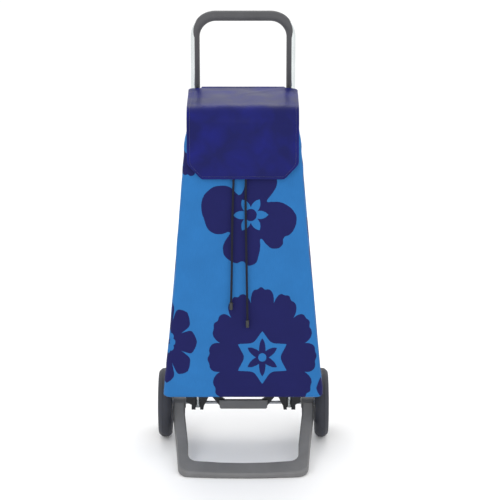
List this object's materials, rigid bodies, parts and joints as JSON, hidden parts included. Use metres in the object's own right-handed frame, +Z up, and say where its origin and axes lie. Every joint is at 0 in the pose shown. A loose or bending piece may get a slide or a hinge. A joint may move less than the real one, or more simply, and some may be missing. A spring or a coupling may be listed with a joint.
{
  "type": "folding shopping trolley",
  "caption": "Upright wheeled shopping trolley: a drawstring fabric bag with a flap on a bent tube handle, with a folding foot.",
  "frame": {"origin": "on the floor, in the middle of the base of the trolley's box", "axes": "+Z up, the front of the bag towards -Y, the axle along X"},
  "size_m": [0.405, 0.3376, 1.04],
  "materials": {
    "tube": "satin anodised",
    "steel": "zinc plated",
    "grey_plastic": "moulded, satin",
    "black_plastic": "moulded, satin",
    "tyre": "moulded, matt",
    "nylon": "moulded",
    "canvas": "printed plain weave",
    "vinyl": "semi-gloss coated cloth",
    "cord": "braided",
    "board": "plain sheet"
  },
  "bodies": {
    "frame": {"handle_tube": "tube", "handle_grip": "grey_plastic", "top_crosspiece": "black_plastic", "left_crosspiece_screw": "steel", "right_crosspiece_screw": "steel", "axle_bridge": "black_plastic", "left_bridge_screw": "steel", "right_bridge_screw": "steel", "axle": "steel", "bag_shelf": "black_plastic", "left_shelf_screw": "steel", "right_shelf_screw": "steel", "lever_pin": "steel", "lever_spring": "steel", "left_axle_cap": "grey_plastic", "right_axle_cap": "grey_plastic", "left_axle_washer": "steel", "right_axle_washer": "steel", "bag_body": "canvas", "drawstring_casing": "vinyl", "left_eyelet": "steel", "right_eyelet": "steel", "back_board": "board", "left_bag_hook": "black_plastic", "right_bag_hook": "black_plastic", "flap_hinge_band": "vinyl", "left_drawstring": "cord", "right_drawstring": "cord", "left_cord_end": "cord", "right_cord_end": "cord"},
    "left_wheel": {"left_tyre": "tyre", "left_rim": "grey_plastic", "left_hub_bush": "nylon"},
    "right_wheel": {"right_tyre": "tyre", "right_rim": "grey_plastic", "right_hub_bush": "nylon"},
    "foot": {"foot_loop": "grey_plastic", "left_foot_bush": "nylon", "right_foot_bush": "nylon"},
    "bag_floor": {"base_board": "board"},
    "lever": {"lever_frame": "black_plastic", "lever_pad": "grey_plastic"},
    "flap_top": {"flap_top": "vinyl"},
    "flap_front": {"flap_front": "vinyl"}
  },
  "joints": [
    {"name": "left_wheel_spin", "type": "hinge", "parent": "frame", "child": "left_wheel", "pos_m": [-0.1865, 0.08625, 0.0825], "axis": [1, 0, 0], "continuous": true},
    {"name": "right_wheel_spin", "type": "hinge", "parent": "frame", "child": "right_wheel", "pos_m": [0.1865, 0.08625, 0.0825], "axis": [1, 0, 0], "continuous": true},
    {"name": "foot_fold", "type": "hinge", "parent": "frame", "child": "foot", "pos_m": [0, 0.08625, 0.0825], "axis": [-1, 0, 0], "range_deg": [0, 75], "deforming": ["bag_body"]},
    {"name": "floor_fold", "type": "hinge", "parent": "frame", "child": "bag_floor", "pos_m": [0, 0.04045, 0.1953], "axis": [-1, 0, 0], "range_deg": [0, 62]},
    {"name": "lever_pull", "type": "hinge", "parent": "frame", "child": "lever", "pos_m": [0, 0.04175, 0.142], "axis": [-1, 0, 0], "range_deg": [0, 20], "stiffness_Nm_per_rad": 0.06, "springref_deg": -20.05, "deforming": ["lever_spring"]},
    {"name": "flap_lift", "type": "hinge", "parent": "frame", "child": "flap_top", "pos_m": [0, 0.05025, 0.8685], "axis": [-1, 0, 0], "range_deg": [0, 90]},
    {"name": "flap_bend", "type": "hinge", "parent": "flap_top", "child": "flap_front", "pos_m": [0, -0.1185, 0.85825], "axis": [-1, 0, 0], "range_deg": [0, 90]}
  ],
  "couplings": [
    {"joint": "floor_fold", "follows": "foot_fold", "ratio": 0.8266}
  ]
}
